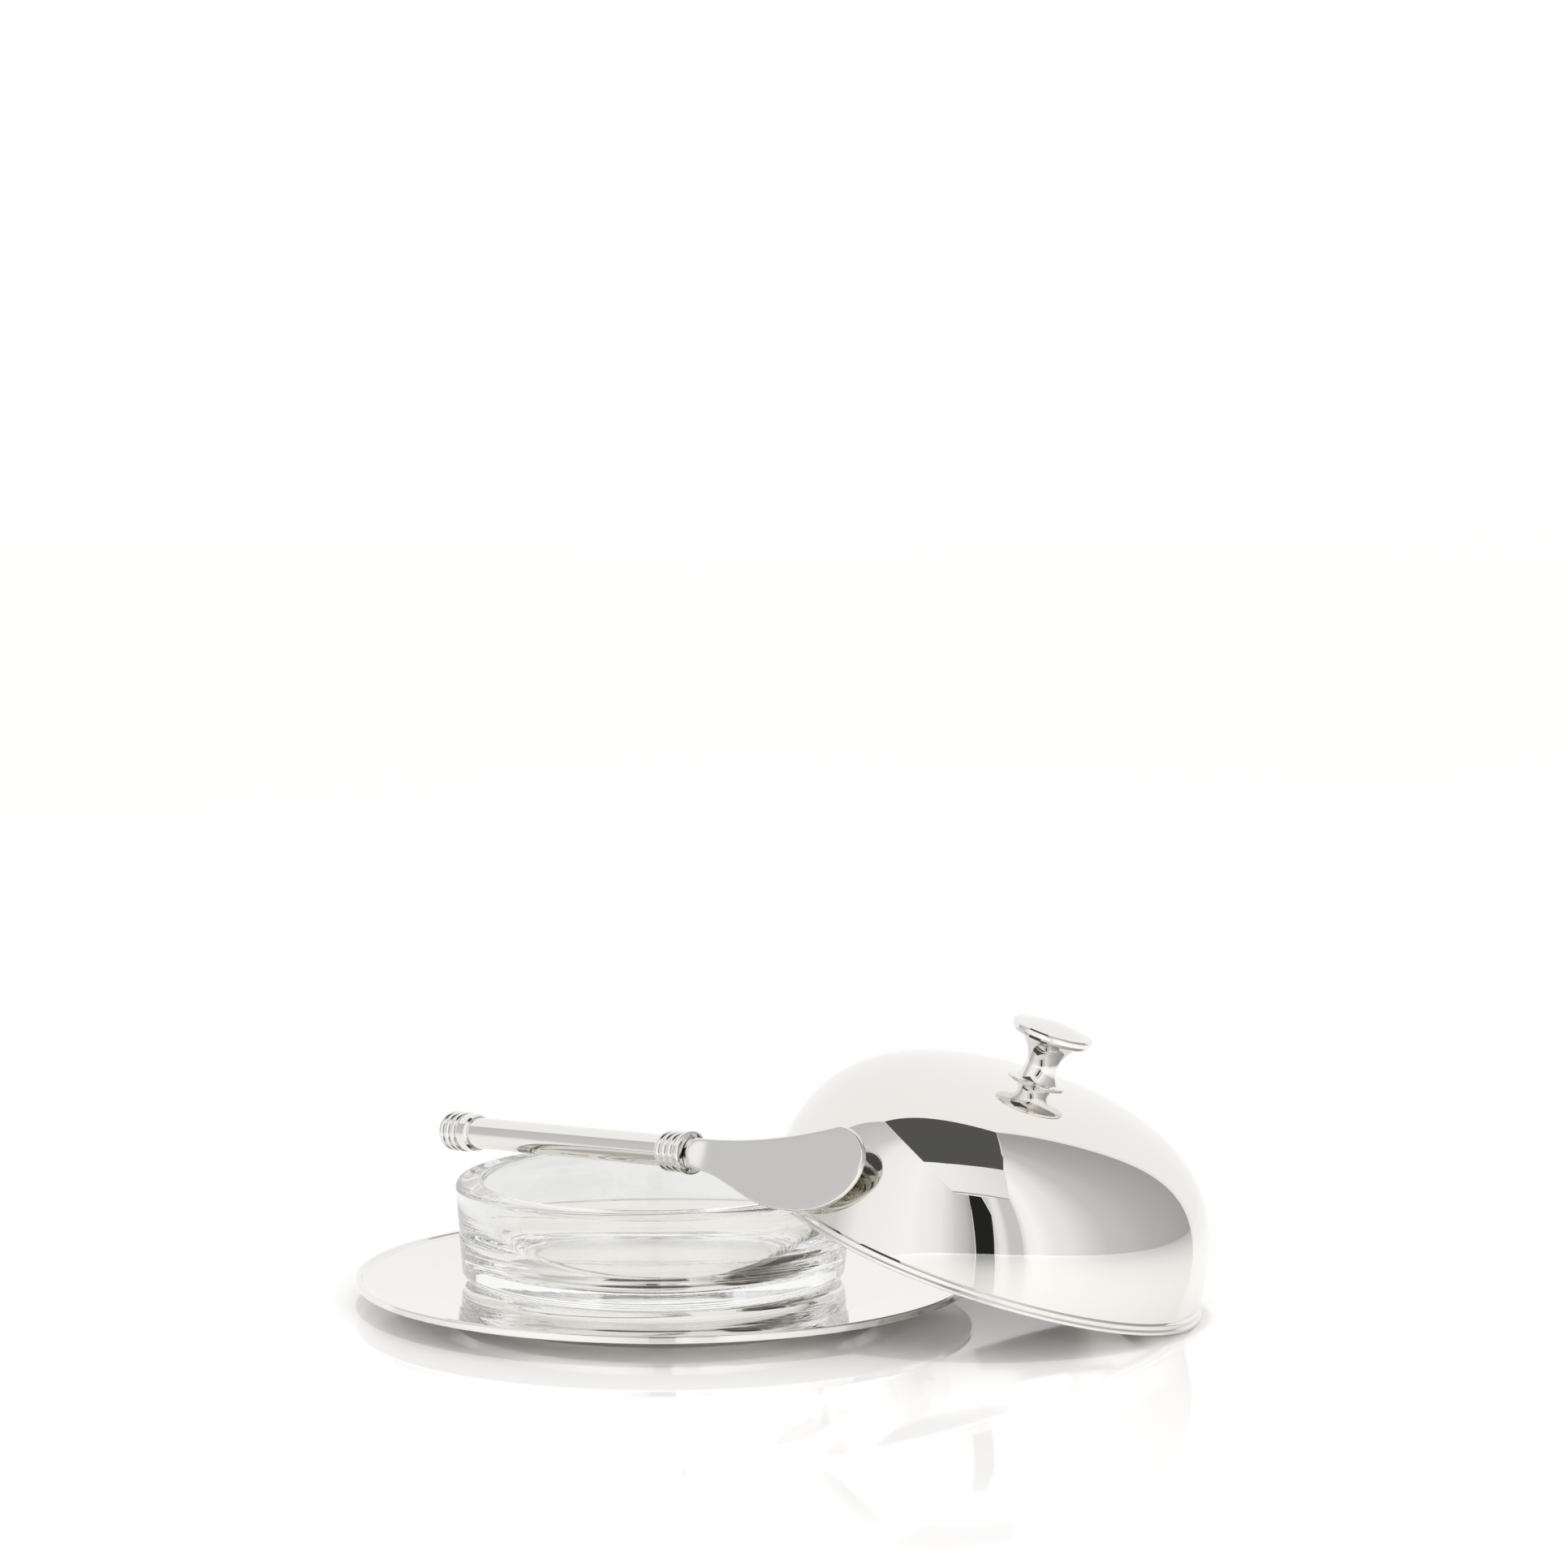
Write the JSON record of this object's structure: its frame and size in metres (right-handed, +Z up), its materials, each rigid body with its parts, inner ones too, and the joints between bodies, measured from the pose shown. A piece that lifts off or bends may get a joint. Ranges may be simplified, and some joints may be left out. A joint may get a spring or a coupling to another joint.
{
  "type": "covered butter dish",
  "caption": "Round silver-plated dish with a clear glass bowl, a domed lid with a turned knob leaning on the bowl, and a spreader across it.",
  "frame": {"origin": "on the table under the plate's axis, at the centre of the foot ring's flat lower face", "axes": "+Z up along the plate's axis; +X from the plate's axis towards the leaning lid"},
  "size_m": [0.1942, 0.14, 0.068],
  "materials": {
    "silver": "polished silver plate",
    "satin_steel": "satin",
    "glass": "clear pressed glass, fire-polished",
    "screw_brass": "turned",
    "resin": "set filler"
  },
  "bodies": {
    "plate": {"plate_dish": "silver", "plate_edge_wire": "silver", "plate_foot": "silver"},
    "bowl": {"glass_bowl": "glass"},
    "lid": {"lid_dome": "silver", "lid_band": "silver", "knob": "silver", "knob_collar": "silver", "knob_screw": "screw_brass", "knob_washer": "screw_brass"},
    "spreader": {"blade": "satin_steel", "front_cup": "silver", "front_beads": "silver", "handle_tube": "silver", "handle_filler": "resin", "rear_cup": "silver", "rear_beads": "silver"}
  },
  "joints": [
    {"name": "bowl_lift", "type": "slide", "parent": "plate", "child": "bowl", "axis": [0, 0, 1], "range_m": [0, 0.06]},
    {"name": "lid_lift", "type": "slide", "parent": "bowl", "child": "lid", "axis": [0.5736, 0, 0.8191], "range_m": [0, 0.09]},
    {"name": "spreader_lift", "type": "slide", "parent": "bowl", "child": "spreader", "axis": [0, 0, 1], "range_m": [0, 0.06]}
  ]
}
